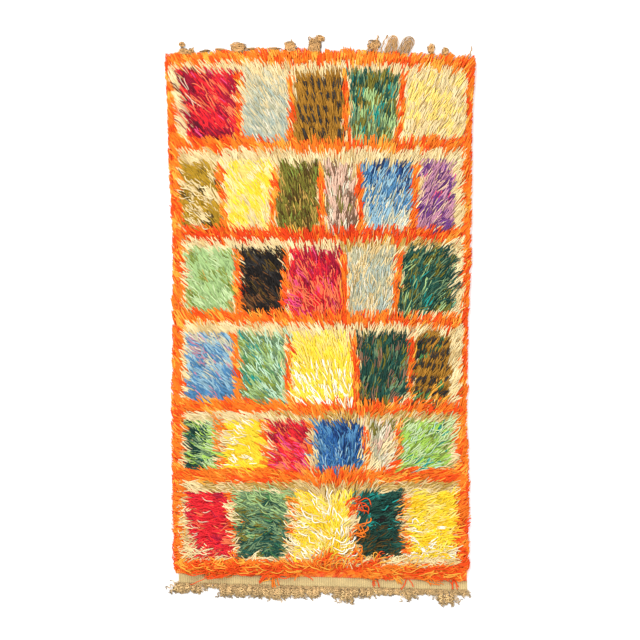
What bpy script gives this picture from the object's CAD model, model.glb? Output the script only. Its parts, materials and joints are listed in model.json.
"""Rya rug: a deep wool pile of colour blocks in an orange grid on cream, laid flat.

Laid out as an add-on and run as a script. Metres, +Z up, the rug lying along Y.
"""

import json
import math
from typing import NamedTuple

import bpy
import numpy as np
from bpy.props import FloatProperty, FloatVectorProperty, IntProperty, PointerProperty
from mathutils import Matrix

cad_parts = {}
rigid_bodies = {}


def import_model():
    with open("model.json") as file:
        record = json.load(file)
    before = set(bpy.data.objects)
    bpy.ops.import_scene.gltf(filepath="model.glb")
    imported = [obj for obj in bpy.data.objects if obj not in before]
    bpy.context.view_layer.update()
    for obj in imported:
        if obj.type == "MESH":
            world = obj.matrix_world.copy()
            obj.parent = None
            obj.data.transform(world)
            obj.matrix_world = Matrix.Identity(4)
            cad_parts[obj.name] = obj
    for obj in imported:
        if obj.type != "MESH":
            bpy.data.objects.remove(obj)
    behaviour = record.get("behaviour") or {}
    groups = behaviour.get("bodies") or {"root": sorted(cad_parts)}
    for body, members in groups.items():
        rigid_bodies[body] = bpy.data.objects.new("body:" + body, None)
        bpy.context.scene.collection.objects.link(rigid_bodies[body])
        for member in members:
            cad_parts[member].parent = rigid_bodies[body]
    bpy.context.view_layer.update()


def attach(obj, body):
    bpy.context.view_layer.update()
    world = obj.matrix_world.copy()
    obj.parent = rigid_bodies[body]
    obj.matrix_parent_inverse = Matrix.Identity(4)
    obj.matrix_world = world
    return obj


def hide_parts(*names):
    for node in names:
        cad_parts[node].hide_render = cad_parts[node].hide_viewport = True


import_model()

bl_info = {
    "name": "Rya rug",
    "version": (1, 0, 0),
    "blender": (4, 5, 0),
    "location": "View3D > Sidebar > Rya rug",
    "description": "Makes a knotted wool rug with its pile, end band, fringe and warp tufts",
    "category": "Mesh",
}

BODY = "root"
PILE_NODE = "shag_pile"
BAND_NODE = "end_band_fringe"
HEADING_NODE = "heading_tufts"
PILE_SLOT = "pile_wool"
WARP_SLOT = "warp_wool"
BAKE_MAP = "OFBake"
YARN_MAP = "yarn"
DYE = "dye"
UP = np.array((0.0, 0.0, 1.0))

# The pile's ground, as in the solids
GROUND_THICK = 0.003
HALF_WIDTH = 0.46
TOP_MIDDLE_Y = 0.808
TOP_BULGE = 0.018
TOP_SLOPE = 0.009
BOTTOM_MIDDLE_Y = -0.786
BOTTOM_SLOPE = 0.012
HEADING_DEPTH = 0.008
BAND_LEFT = -0.432
BAND_RIGHT = 0.450
BAND_DEPTH = 0.030
SEAM_GAP = 0.0003

GROUND_GRID = (98, 170)
BAND_GRID = (882, 5)
GROUND_WEFT = 0.0125
GROUND_WARP = 0.0078
BACK_DYE = 0.55
BACK_WOOL = 0.45
ROOTS_BRIGHTER = 1.1
BAND_RIB = 0.0056
BAND_WEFT = 0.0024
BAND_BUMPS = 0.0005
RIB_HEIGHT = 0.0006
TWINE_PITCH = 0.0085
TWINE_RADIUS = 0.0012
TWINE_LEVEL = 0.0024
TWINE_SWING = (0.0008, 0.0009)

# Where the bake map holds a sheet's faces and its edge walls, and a tube in its cell
FACE_WIDTH = 0.48
WALL_STRIP = (0.985, 0.995)
CELL_EDGE = 0.08

# The pile
MOST_YARNS = 8900
YARN_SIDES = 3
LOOSE_STEPS = 13
SHORTEST_YARN = 0.016
LOWEST_YARN = 0.0022
KNOT_STRAY = 0.003
ROW_STRAY = 0.007
SELVAGE = 0.003
YARN_SHAPE = (0.9, 1.0, 1.0, 0.82, 0.0)
YARN_TRAVEL = (0.0, 0.22, 0.56, 0.94, 1.0)
YARN_RISE = (0.0, 0.62, 0.90, 1.0, 0.97)
RIM_OVERHANG = 0.012
SIDE_OVERHANG = 0.45
TIP_SHARE = 0.78
LOCK = 0.3
RIM_LOCK = 0.35
ROOTS_THICK = 0.0085
ROOT_LEVEL = 0.8
END_ROW = 0.003
END_ROWS = 0.005
KNOT_SPAN = 0.46
YARN_WAVES = 0.9
STRAIGHT_AT = 0.35
EDGE_HEIGHT = 0.66
INNER_HEIGHT = 0.34
LOW_RIM = 0.03
SWELL = 0.16
SWELL_BUMP = 0.06
PATCH_BUMP = 0.024
SPOT_CHANCE = 0.9
SPOT_SHORTER = 0.26
SPOT_HIGHER = 0.2
TONE_SPREAD = 0.05
MOST_UNEVEN = 0.42
YARN_TONE = 0.9
KNOT_TONE = 0.5
BRIGHTNESS = (0.2126, 0.7152, 0.0722)

# The least and the most of a knot's and a yarn's measures, as shares of the pile's settings
KNOT_LENGTHS = (0.84, 1.12)
KNOT_HEIGHTS = (0.9, 1.1)
YARN_LENGTHS = (0.84, 1.06)
YARN_HEIGHTS = (0.86, 1.06)
YARN_WIDTHS = (0.8, 1.2)
ROOM_USED = (0.94, 1)
LOOSE_CURLS = (0.3, 1.2)
LOOSE_LENGTHS = (0.7, 1.15)
LOOSE_HEIGHTS = (0.86, 1.04)
LOOSE_TONES = (0.85, 1.12)

# How much knots and yarns turn and sway, in degrees, and how much more of it their curl adds
KNOT_TURN = 2.5
CURL_TURN = 0.16
YARN_TURN = 5
EDGE_TURN = 0.4
INNER_TURN = 0.6
YARN_SWAY = 4
YARN_BEND = 0.7
YARN_STRAY = 0.0010
LOOSE_TURN = 14

# How far yarns may hang over the outline, and how they droop there
OVERHANG_STRAY = 0.35
OVERHANG_BUMP = 0.03
TOP_OVERHANG = 1.85
RIGHT_OVERHANG = 0.45
LEAST_SLANT = 0.05
DROOP = 0.75
DROOP_START = 0.1
DROOP_REACH = 0.020

# How often each yarn's plies turn along it
PILE_PLIES = 6.0
LOOSE_PLIES = 12.0
TUFT_PLIES = 30.0
WARP_PLIES = 40.0

# How the pile leans within this reach of the rim, in degrees, and how much more at the low end
# and the top corners
RIM_REACH = 0.050
RIM_SOFTNESS = 0.030
RIM_LEAN = 26
LOW_RIM_LEAN = 4
CORNER_LEAN = 6

# How far the pattern's edges stray, and how long the bumps in them are
STRAY_X = 0.0045
STRAY_Y = 0.0040
STRAY_BUMP = 0.012
WAVE = 0.004
WAVE_BUMP = 0.07
CRUMB_BUMP = 0.011
SIDE_STRAY = 0.005
SIDE_BUMP = 0.016

# The warp threads: steps, levels, swing in degrees, length of a curl, and tones by level
WARP_SIDES = 4
FRINGE_STEPS = 44
TUFT_STEPS = 42
TWINE_STEPS = 620
TUFT_LEVEL = 0.0018
TUFT_RISE = 0.0082
FRINGE_LEVEL = 0.0022
FRINGE_SWING = (68, 102)
FRINGE_CURL = (0.015, 0.025)
FRINGE_LIFT = (0.0025, 0.0065)
FRINGE_REACH = (0.70, 1.0)
FRINGE_EXTRA = 0.004
FRINGE_LEAN = 9
FRINGE_STRAY = 0.8
FRINGE_RIPPLE = 0.0012
SWING_LENGTHENS = 0.42
LAYER_DROP = 0.0008
BAND_INSET = 0.0015
BAND_OVERLAP = 0.001
TANGLE_TURNS = (1.8, 3.2)
FLAT_BELOW = 0.0048
FLAT_WIDER = 1.4
FRINGE_LEVELS = (0.0018, 0.0044, 0.0085)
FRINGE_TONES = (0.34, 0.66, 1.18)
TANGLE_THICK = (0.006, 0.009)
SKEIN_SMOOTHING = 9
SKEIN_SWING = 0.0011
SKEIN_CROWN = 0.0035
SKEIN_LIFT = 0.0045
TANGLE_DARKEST = 0.34
SKEIN_DARKEST = 0.80
BRIGHTEST = 1.35

# The stage, with each lamp's name, place, size and share of the light
LAMPS = (("key_light", (-2.4, 2.6, 4.4), 3.2, 1.0), ("fill_light", (2.8, -2.2, 4.6), 4.0, 0.5))
SQUARE = ((-1, -1), (1, -1), (1, 1), (-1, 1))
FLOOR_REACH = 12.0
FLOOR_DROP = 0.0008
RUG_HEIGHT = 0.018
AMBIENT = 0.80


class Side(NamedTuple):
    """Where the ground's two long sides run at one distance along the rug.

    The line columns say how far the orange border reaches in from them.
    """

    y: float
    left: float
    right: float
    left_line: float
    right_line: float


class Lay(NamedTuple):
    """How the pile lies at one distance along the rug: degrees from +Y, + to the right.

    Parting is where it points straight on, softness how wide the change is, and curl how much
    single yarns bend.
    """

    y: float
    left: float
    right: float
    parting: float
    softness: float
    curl: float


class Line(NamedTuple):
    """One orange line across the rug."""

    y: float
    tilt: float
    width: float
    deep: bool = False


class Block(NamedTuple):
    """One block's dyes by weight. Blend is the share of yarns that pick their own dye.

    Fade and drift move the first dyes towards the block's head and its left side, patchy is the
    share of knots that keep to their neighbours' dye, reach is how long the yarns are, and spots
    is the dye of the tufts that stand in staggered rows on it, below the share spots_from and
    with the share spots_wide of a knot's yarns.
    """

    dyes: dict
    blend: float = 0.3
    fade: float = 0.0
    drift: float = 0.0
    patchy: float = 0.5
    reach: float = 1.0
    spots: str = ""
    spots_from: float = 0.0
    spots_wide: float = 0.5


class Row(NamedTuple):
    """One row of blocks between two orange lines, from its head to its foot.

    Bars are the row's two ends and the orange bars between its blocks, each by its X at the
    head and at the foot. Solid, from 0 to 1, is how unbroken those bars are.
    """

    head: float
    foot: float
    solid: float
    bars: tuple
    blocks: tuple


class Strip(NamedTuple):
    """One strip of khaki ground: its middle, half its height, and where it starts and ends."""

    y: float
    half: float
    left: float
    right: float


class Clump(NamedTuple):
    """One clump of fringe: its two ends, how far it hangs, and its lean in degrees."""

    left: float
    right: float
    reach: float
    lean: float


class Tangle(NamedTuple):
    """One tangle of warp ends at the heading: its middle, half its sizes and its threads."""

    x: float
    y: float
    wide: float
    tall: float
    threads: int


class Skein(NamedTuple):
    """One skein of warp ends at the heading: the places that it passes, its width and threads."""

    places: tuple
    width: float
    threads: int


class Stray(NamedTuple):
    """One group of loose yarns on the pile. Angle and curl are in degrees from +Y, + to the right.

    Wide and tall are how far the group spreads, and high is how high it lies.
    """

    dye: str
    x: float
    y: float
    wide: float
    tall: float
    count: int
    angle: float
    curl: float
    length: float
    high: float = 0.0235


SIDES = (
    Side(-0.82, -0.441, 0.449, 0.016, 0.018),
    Side(-0.55, -0.446, 0.450, 0.018, 0.026),
    Side(-0.29, -0.448, 0.444, 0.026, 0.020),
    Side(-0.06, -0.446, 0.448, 0.024, 0.014),
    Side(0.20, -0.446, 0.457, 0.026, 0.021),
    Side(0.55, -0.460, 0.459, 0.024, 0.016),
    Side(0.82, -0.470, 0.472, 0.008, 0.018),
)

LAYS = (
    Lay(-0.80, -92, 86, 0.02, 0.06, 55),
    Lay(-0.66, -88, 78, 0.04, 0.07, 48),
    Lay(-0.50, -72, 74, 0.06, 0.12, 28),
    Lay(-0.36, -58, 50, 0.10, 0.14, 22),
    Lay(-0.12, -50, 42, 0.10, 0.30, 16),
    Lay(0.13, -42, 55, 0.14, 0.24, 20),
    Lay(0.38, -50, 44, 0.02, 0.32, 14),
    Lay(0.62, -52, 46, 0.08, 0.36, 9),
    Lay(0.82, -45, 45, 0.05, 0.40, 8),
)

FAMILIES = {
    "orange": {"orange": "FC7E1C", "amber": "FFAE3C", "flame": "F4500E", "ember": "E23C0C"},
    "cream": {
        "cream": "EDD49C", "butter": "F6E2AE", "wheat": "DDBE80", "khaki": "C39C4A",
        "stone": "D4CDAC", "fog": "E8DFC4", "mist": "B0BCAE", "pebble": "B8B594",
        "milk": "FFFAEA", "blush": "E8C0A6",
    },
    "yellow": {"yellow": "FFDC34", "straw": "FFE07A", "gold": "FFCC1E", "lemon": "FFE248"},
    "red": {
        "crimson": "A81232", "red": "EA2530", "salmon": "F9794E", "pink": "EE4C80",
        "maroon": "6A1226", "violet": "703C80", "mauve": "CA8EA4",
    },
    "green": {
        "leaf": "8A9A40", "grass": "4F8A50", "teal": "1C9488", "bottle": "215244",
        "pine": "153C32", "olive": "7C7428", "sage": "AAC884", "celery": "CADEA4",
        "lime": "ACD458", "mint": "C6E4C2", "moss": "6E8C66",
    },
    "dark": {
        "blue": "5289B4", "sky": "98BECE", "royal": "2C629E", "navy": "193A70",
        "ochre": "AE7A26", "bark": "5A4418", "taupe": "8A664E", "mustard": "B88F22",
        "slate": "302E2C", "black": "1E1916", "chestnut": "744A26",
    },
}

# How much darker a yarn is at its root, and how rough it is
ROOT_SHADE = {
    "orange": 0.12, "cream": 0.03, "yellow": 0.03, "red": 0.30, "green": 0.35, "dark": 0.35,
}
LOOSE_SHADE = 0.1
WARP_SHADE = 0.05
WOOL_ROUGH = 0.5
WARP_ROUGH = 0.62

ORANGE = Block({"flame": 4, "orange": 6, "amber": 2}, blend=0.2, patchy=0.4)
BRIGHT_ORANGE = Block({"flame": 3, "orange": 6, "amber": 4}, blend=0.3, patchy=0.4)
DEEP_ORANGE = Block({"ember": 4, "flame": 5, "orange": 3, "amber": 1}, blend=0.3)
CREAM = Block({"cream": 5, "butter": 3, "wheat": 2}, blend=0.3)
KHAKI = Block({"khaki": 6, "wheat": 4, "cream": 1}, blend=0.5)

LINES = (
    Line(0.541, -0.002, 0.037),
    Line(0.268, -0.003, 0.037, deep=True),
    Line(0.009, -0.016, 0.035),
    Line(-0.260, -0.008, 0.040),
    Line(-0.472, -0.004, 0.041),
)
TOP_LINE_WIDTH = 0.030
BOTTOM_LINE_WIDTH = 0.050
BAR_WIDTH = 0.020
BAR_GROUND = 0.85
BAR_START = 0.03
GROUND_CRUMBS = 0.25

STRIPS = (
    Strip(0.238, 0.014, 0.06, 0.37),
    Strip(-0.290, 0.010, -0.15, HALF_WIDTH),
    Strip(-0.504, 0.012, -0.36, HALF_WIDTH),
)

ROWS = (
    Row(
        0.764, 0.558, 0.80,
        (
            (-0.440, -0.398), (-0.254, -0.244), (-0.088, -0.090), (0.078, 0.081), (0.258, 0.240),
            (0.444, 0.432),
        ),
        (
            Block({"maroon": 1.5, "crimson": 6, "pink": 0.4, "red": 6, "salmon": 1.5}, drift=0.4),
            Block({"cream": 2, "stone": 5, "fog": 1, "pebble": 2, "mist": 3}, blend=0.5, fade=0.6),
            Block({"ochre": 1}, spots="slate"),
            Block(
                {"bottle": 3.5, "olive": 5, "moss": 3, "teal": 1, "khaki": 1, "sage": 5},
                blend=0.4, fade=0.4, patchy=0.3,
            ),
            Block({"wheat": 1.5, "cream": 5, "butter": 3, "straw": 5}, blend=0.2),
        ),
    ),
    Row(
        0.485, 0.286, 0.88,
        (
            (-0.428, -0.424), (-0.316, -0.290), (-0.138, -0.150), (0.000, 0.006), (0.118, 0.126),
            (0.298, 0.286), (0.416, 0.410),
        ),
        (
            Block({"mustard": 6, "cream": 4, "bark": 1}, blend=0.12, patchy=0.2),
            Block({"cream": 1, "straw": 5, "yellow": 4, "butter": 3}, blend=0.2, fade=-0.2),
            Block({"olive": 6, "leaf": 1.5, "bark": 4, "khaki": 2}, blend=0.5, fade=0.2),
            Block({"blush": 6, "taupe": 3, "fog": 1, "olive": 0.6}, blend=0.3, patchy=0.2),
            Block({"navy": 0.4, "blue": 6, "sky": 5, "stone": 5, "fog": 0.6}, blend=0.35, fade=0.7),
            Block({"mauve": 6, "pink": 0.5, "violet": 5.5, "blush": 3}, blend=0.4, patchy=0.3),
        ),
    ),
    Row(
        0.220, 0.026, 0.92,
        (
            (-0.410, -0.410), (-0.256, -0.250), (-0.106, -0.112), (0.072, 0.078), (0.249, 0.226),
            (0.404, 0.404),
        ),
        (
            Block({"sage": 6, "celery": 4, "leaf": 2, "khaki": 0.6}, blend=0.35),
            Block({"slate": 1.5, "black": 7, "bark": 1.2, "chestnut": 1.8}, blend=0.4, fade=0.2),
            Block({"crimson": 4.5, "red": 3.5, "pink": 1, "salmon": 4}, blend=0.3, fade=0.5),
            Block({"fog": 2, "pebble": 4, "cream": 3, "wheat": 1, "mist": 2}, blend=0.5),
            Block(
                {"teal": 1, "bottle": 6, "pine": 2.5, "olive": 3, "moss": 2, "sage": 2}, blend=0.5,
                patchy=0.2, reach=1.25,
            ),
        ),
    ),
    Row(
        -0.036, -0.240, 0.80,
        (
            (-0.410, -0.406), (-0.264, -0.252), (-0.096, -0.100), (0.100, 0.116), (0.284, 0.276),
            (0.400, 0.400),
        ),
        (
            Block({"stone": 2, "sky": 5, "mauve": 0.6, "blue": 6}, blend=0.35, fade=0.5),
            Block(
                {"sage": 5, "moss": 4, "grass": 1, "leaf": 3, "teal": 1, "mint": 3.5},
                blend=0.35, patchy=0.3,
            ),
            Block(
                {"straw": 4, "lemon": 4, "yellow": 5, "milk": 0.5}, blend=0.5, fade=0.4, patchy=0.3,
                spots="milk", spots_from=0.40, spots_wide=0.2,
            ),
            Block(
                {"pine": 3.5, "bottle": 7, "olive": 2, "moss": 1.8, "taupe": 1.4},
                blend=0.5, patchy=0.3,
            ),
            Block({"ochre": 9, "amber": 0.7, "grass": 0.6, "pine": 0.8}, blend=0.1, spots="slate"),
        ),
    ),
    Row(
        -0.306, -0.452, 0.62,
        (
            (-0.414, -0.414), (-0.302, -0.310), (-0.172, -0.168), (-0.034, -0.030), (0.138, 0.148),
            (0.243, 0.238), (0.402, 0.402),
        ),
        (
            Block(
                {"pine": 1.2, "bottle": 3, "moss": 2, "sage": 3, "lime": 5, "celery": 3},
                blend=0.35, drift=0.9,
            ),
            Block({"yellow": 7, "gold": 2, "milk": 1}, blend=0.2),
            Block({"crimson": 3, "red": 4.5, "salmon": 3.5, "pink": 2.5}, blend=0.3, fade=0.5),
            Block({"navy": 2, "royal": 5, "blue": 4, "sky": 1.4}, blend=0.4, fade=0.5),
            Block(
                {"olive": 0.6, "pebble": 3, "fog": 2, "blush": 3, "butter": 3}, blend=0.4, fade=0.6,
            ),
            Block({"leaf": 1.5, "lime": 6, "celery": 3, "mint": 1, "teal": 0.4}, blend=0.5),
        ),
    ),
    Row(
        -0.520, -0.722, 0.62,
        (
            (-0.420, -0.388), (-0.280, -0.268), (-0.092, -0.100), (0.104, 0.106), (0.262, 0.272),
            (0.422, 0.430),
        ),
        (
            Block({"red": 9, "crimson": 1.2, "salmon": 1, "pink": 0.3}, blend=0.3),
            Block({"sage": 3, "moss": 5, "olive": 2, "grass": 1, "bottle": 4}, blend=0.4, fade=0.6),
            Block({"gold": 2, "yellow": 6, "straw": 3, "milk": 2}, blend=0.3, patchy=0.2),
            Block({"teal": 1, "bottle": 3, "pine": 7, "black": 1, "bark": 1}, blend=0.4, fade=0.5),
            Block({"straw": 2, "yellow": 5, "gold": 4, "milk": 0.5}, blend=0.3, fade=0.3),
        ),
    ),
)

CLUMPS = (
    Clump(-0.446, -0.356, 0.031, -16),
    Clump(-0.352, -0.304, 0.011, 0),
    Clump(-0.302, -0.250, 0.041, -9),
    Clump(-0.250, -0.175, 0.039, 0),
    Clump(-0.175, -0.105, 0.046, 0),
    Clump(-0.105, -0.008, 0.039, 5),
    Clump(-0.008, 0.054, 0.020, 0),
    Clump(0.054, 0.094, 0.048, 0),
    Clump(0.094, 0.160, 0.030, 0),
    Clump(0.160, 0.245, 0.020, 5),
    Clump(0.245, 0.275, 0.040, 32),
    Clump(0.275, 0.356, 0.015, 0),
    Clump(0.358, 0.408, 0.050, 9),
    Clump(0.408, 0.452, 0.014, 8),
)

# The long ends that stray from the fringe
LONE_ENDS = (
    Clump(-0.440, -0.440, 0.036, -66),
    Clump(-0.430, -0.430, 0.034, -60),
    Clump(0.010, 0.010, 0.040, 20),
    Clump(0.146, 0.146, 0.040, 48),
    Clump(0.438, 0.438, 0.028, 40),
    Clump(0.442, 0.442, 0.032, 36),
)

TANGLES = (
    Tangle(-0.4224, 0.8418, 0.0100, 0.0070, 4),
    Tangle(-0.4133, 0.8220, 0.0170, 0.0085, 6),
    Tangle(-0.3935, 0.8235, 0.0095, 0.0115, 4),
    Tangle(-0.3523, 0.8229, 0.0150, 0.0035, 2),
    Tangle(-0.3060, 0.8265, 0.0190, 0.0030, 2),
    Tangle(-0.2110, 0.8295, 0.0160, 0.0032, 2),
    Tangle(-0.1420, 0.8300, 0.0190, 0.0034, 2),
    Tangle(-0.2486, 0.8342, 0.0225, 0.0125, 13),
    Tangle(-0.0915, 0.8342, 0.0170, 0.0135, 10),
    Tangle(-0.0168, 0.8357, 0.0180, 0.0200, 12),
    Tangle(-0.0290, 0.8540, 0.0075, 0.0100, 3),
    Tangle(-0.0015, 0.8600, 0.0150, 0.0090, 7),
    Tangle(0.1647, 0.8433, 0.0175, 0.0140, 8),
    Tangle(0.3401, 0.8296, 0.0105, 0.0135, 7),
    Tangle(0.3797, 0.8220, 0.0105, 0.0100, 4),
)

SKEINS = (
    Skein(((-0.0895, 0.832), (-0.0895, 0.848), (-0.0869, 0.858)), 0.0030, 2),
    Skein(((0.1420, 0.808), (0.1480, 0.832), (0.1600, 0.846)), 0.0060, 3),
    Skein(((0.1690, 0.840), (0.1754, 0.858), (0.1784, 0.871)), 0.0040, 3),
    Skein(((0.1830, 0.808), (0.1900, 0.834), (0.1967, 0.855), (0.2089, 0.872)), 0.0030, 2),
    Skein(
        (
            (0.2010, 0.812), (0.2090, 0.834), (0.2190, 0.860), (0.2300, 0.863),
            (0.2300, 0.842), (0.2250, 0.816),
        ),
        0.0190, 9,
    ),
    Skein(
        (
            (0.2420, 0.810), (0.2500, 0.832), (0.2650, 0.857), (0.2800, 0.859),
            (0.2770, 0.840), (0.2620, 0.814),
        ),
        0.0210, 10,
    ),
    Skein(((0.3730, 0.806), (0.3790, 0.824), (0.3820, 0.834)), 0.0070, 4),
    Skein(((0.4570, 0.790), (0.4595, 0.814), (0.4650, 0.838)), 0.0028, 2),
)

STRAYS = (
    Stray("flame", 0.108, -0.572, 0.009, 0.018, 9, 110, 260, 0.060),
    Stray("orange", 0.112, -0.634, 0.010, 0.020, 10, 70, -280, 0.060),
    Stray("orange", 0.104, -0.706, 0.009, 0.012, 7, 150, 300, 0.055),
    Stray("milk", -0.010, -0.630, 0.060, 0.060, 9, -60, 120, 0.052),
    Stray("butter", -0.020, -0.640, 0.060, 0.060, 14, -60, 90, 0.050),
    Stray("milk", 0.060, -0.690, 0.030, 0.030, 10, 70, -150, 0.050),
    Stray("milk", 0.282, -0.660, 0.008, 0.034, 5, 100, 250, 0.045),
    Stray("butter", 0.350, -0.712, 0.060, 0.006, 10, 85, 40, 0.045),
    Stray("butter", -0.345, -0.700, 0.030, 0.016, 10, -70, 90, 0.045),
    Stray("orange", 0.030, -0.752, 0.050, 0.018, 26, 20, 120, 0.050),
    Stray("amber", 0.100, -0.752, 0.090, 0.012, 22, 60, 240, 0.060),
    Stray("flame", 0.090, -0.754, 0.100, 0.014, 26, 50, 220, 0.060),
    Stray("amber", -0.150, -0.756, 0.200, 0.012, 20, -75, 60, 0.060),
    Stray("flame", -0.200, -0.764, 0.180, 0.014, 40, -80, 50, 0.060),
    Stray("amber", 0.295, -0.768, 0.090, 0.012, 12, 82, -40, 0.055),
    Stray("flame", 0.295, -0.772, 0.090, 0.012, 26, 84, 40, 0.052),
    Stray("flame", 0.000, -0.769, 0.110, 0.004, 26, 92, 100, 0.046, 0.0160),
    Stray("orange", 0.000, -0.767, 0.110, 0.005, 30, -92, -90, 0.046, 0.0150),
    Stray("orange", -0.150, -0.782, 0.010, 0.004, 4, 175, 40, 0.034, 0.0075),
    Stray("flame", 0.172, -0.790, 0.010, 0.004, 3, 165, -50, 0.026, 0.0070),
    Stray("flame", 0.270, -0.790, 0.002, 0.003, 2, 180, 10, 0.042, 0.0070),
    Stray("flame", 0.402, -0.794, 0.010, 0.004, 5, 170, 30, 0.030, 0.0075),
    Stray("salmon", -0.365, 0.650, 0.045, 0.070, 16, -38, -30, 0.070),
    Stray("blush", -0.365, 0.640, 0.035, 0.060, 5, -36, -20, 0.075),
    Stray("maroon", -0.418, 0.690, 0.003, 0.003, 2, -38, -12, 0.070),
    Stray("crimson", -0.395, 0.610, 0.020, 0.040, 6, -40, -20, 0.055),
    Stray("butter", -0.358, 0.350, 0.040, 0.070, 16, -70, 130, 0.042),
    Stray("mustard", -0.370, 0.350, 0.040, 0.080, 16, -50, -120, 0.045),
    Stray("fog", -0.345, -0.070, 0.035, 0.030, 6, -60, 90, 0.040),
    Stray("mauve", -0.352, -0.112, 0.022, 0.022, 8, -70, 90, 0.036),
    Stray("salmon", -0.020, 0.070, 0.060, 0.034, 26, -46, 70, 0.050),
    Stray("pink", -0.060, 0.052, 0.022, 0.026, 20, -50, 70, 0.034),
    Stray("pine", 0.360, 0.100, 0.030, 0.070, 14, 52, 20, 0.066),
    Stray("bottle", 0.365, 0.095, 0.030, 0.070, 14, 56, 24, 0.066),
    Stray("moss", 0.360, 0.100, 0.030, 0.060, 8, 56, 16, 0.060),
    Stray("butter", -0.225, -0.370, 0.045, 0.045, 10, -65, 100, 0.052),
    Stray("orange", -0.290, -0.350, 0.012, 0.050, 16, -60, 80, 0.050),
    Stray("orange", -0.100, -0.380, 0.060, 0.040, 8, -50, 60, 0.055),
    Stray("blue", 0.035, -0.400, 0.060, 0.036, 12, -60, 60, 0.045),
    Stray("sage", -0.150, -0.560, 0.080, 0.040, 16, -50, 70, 0.055),
    Stray("mint", -0.130, -0.100, 0.060, 0.070, 14, -20, 50, 0.045),
    Stray("celery", 0.330, -0.350, 0.070, 0.040, 20, 50, -60, 0.050),
    Stray("blush", -0.350, -0.600, 0.040, 0.060, 6, -75, 90, 0.045),
    Stray("orange", 0.086, 0.812, 0.007, 0.003, 12, -24, 10, 0.022, 0.012),
)


def linear(code):
    """A colour written as six hexadecimal digits, as linear red, green and blue."""
    parts = np.array([int(code[i : i + 2], 16) for i in (0, 2, 4)]) / 255
    return np.where(parts <= 0.04045, parts / 12.92, ((parts + 0.055) / 1.055) ** 2.4)


DYE_NAMES = [name for family in FAMILIES.values() for name in family]
DYE_FAMILY = [family for family, dyes in FAMILIES.items() for _ in dyes]
DYES = np.array([linear(code) for dyes in FAMILIES.values() for code in dyes.values()])


def ease(share):
    return share * share * (3 - 2 * share)


def top_edge(x):
    """Y of the ground's top edge, which bulges in the middle and falls to the right."""
    across = x / HALF_WIDTH
    return TOP_MIDDLE_Y - TOP_BULGE * across**2 - TOP_SLOPE * across


def bottom_edge(x):
    """Y of the ground's bottom edge, which falls to the right."""
    return BOTTOM_MIDDLE_Y - BOTTOM_SLOPE * x / HALF_WIDTH


def stations(table, y):
    """The named columns of a table, eased between its rows at each y."""
    ys = np.array([row.y for row in table])
    y = np.clip(y, ys[0], ys[-1])
    low = np.clip(np.searchsorted(ys, y) - 1, 0, len(ys) - 2)
    share = ease((y - ys[low]) / (ys[low + 1] - ys[low]))
    columns = {}
    for name in table[0]._fields[1:]:
        values = np.array([getattr(row, name) for row in table], float)
        columns[name] = values[low] + (values[low + 1] - values[low]) * share
    return columns


def soft_noise(x, y, length, seed):
    """Smooth noise from -1 to 1 over the rug, whose bumps are about one length apart."""
    size = 97
    table = np.random.default_rng(seed).uniform(-1, 1, (size, size))
    u, v = x / length + 31.7, y / length + 47.3
    column, row = np.floor(u).astype(int), np.floor(v).astype(int)
    across, along = ease(u - column), ease(v - row)
    corner = [table[(row + j) % size, (column + i) % size] for j in (0, 1) for i in (0, 1)]
    low = corner[0] + (corner[1] - corner[0]) * across
    high = corner[2] + (corner[3] - corner[2]) * across
    return low + (high - low) * along


# The coloured pattern: what shows at each place of the rug


def block_at(x, y):
    """Index into BLOCKS of what shows at each place, with the place within its block."""
    jag_x = x + STRAY_X * soft_noise(x, y, STRAY_BUMP, 3)
    jag_y = y + STRAY_Y * soft_noise(x, y, STRAY_BUMP, 4) + WAVE * soft_noise(x, y, WAVE_BUMP, 5)
    kind = np.full(x.shape, BLOCKS.index(CREAM))
    head_share = np.full(x.shape, 0.5)
    side_share = np.full(x.shape, 0.5)
    crumb = soft_noise(x, y, CRUMB_BUMP, 6)
    for row in ROWS:
        tall = (row.head - jag_y) / (row.head - row.foot)
        inside = (tall > 0) & (tall < 1)
        edges = [head + (foot - head) * tall for head, foot in row.bars]
        for index, block in enumerate(row.blocks):
            left, right = edges[index], edges[index + 1]
            place = (jag_x - left) / (right - left)
            here = inside & (place > 0) & (place < 1)
            kind[here] = BLOCKS.index(block)
            head_share[here] = tall[here]
            side_share[here] = place[here]
        for edge in edges[1:-1]:
            off = np.abs(jag_x - edge)
            near = inside & (off < BAR_WIDTH * BAR_GROUND)
            kind[near & (crumb > GROUND_CRUMBS)] = BLOCKS.index(CREAM)
            bar = inside & (off < BAR_WIDTH / 2) & (crumb < 2 * row.solid - 1)
            kind[bar & (tall > BAR_START)] = BLOCKS.index(ORANGE)
    for strip in STRIPS:
        here = (np.abs(jag_y - strip.y) < strip.half) & (x > strip.left) & (x < strip.right)
        kind[here & (kind == BLOCKS.index(CREAM))] = BLOCKS.index(KHAKI)
    for line in LINES:
        wool = DEEP_ORANGE if line.deep else ORANGE
        kind[np.abs(jag_y - line.y - line.tilt * x) < line.width / 2] = BLOCKS.index(wool)
    kind[jag_y > top_edge(x) + RIM_OVERHANG - TOP_LINE_WIDTH] = BLOCKS.index(BRIGHT_ORANGE)
    kind[jag_y < bottom_edge(x) + BOTTOM_LINE_WIDTH] = BLOCKS.index(ORANGE)
    side = stations(SIDES, y)
    ragged = SIDE_STRAY * soft_noise(x, y, SIDE_BUMP, 7)
    outside = jag_x < side["left"] + side["left_line"] + ragged
    outside |= jag_x > side["right"] - side["right_line"] - ragged
    kind[outside] = BLOCKS.index(ORANGE)
    return kind, head_share, side_share


BLOCKS = [ORANGE, BRIGHT_ORANGE, DEEP_ORANGE, CREAM, KHAKI]
BLOCKS += [block for row in ROWS for block in row.blocks]


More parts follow.
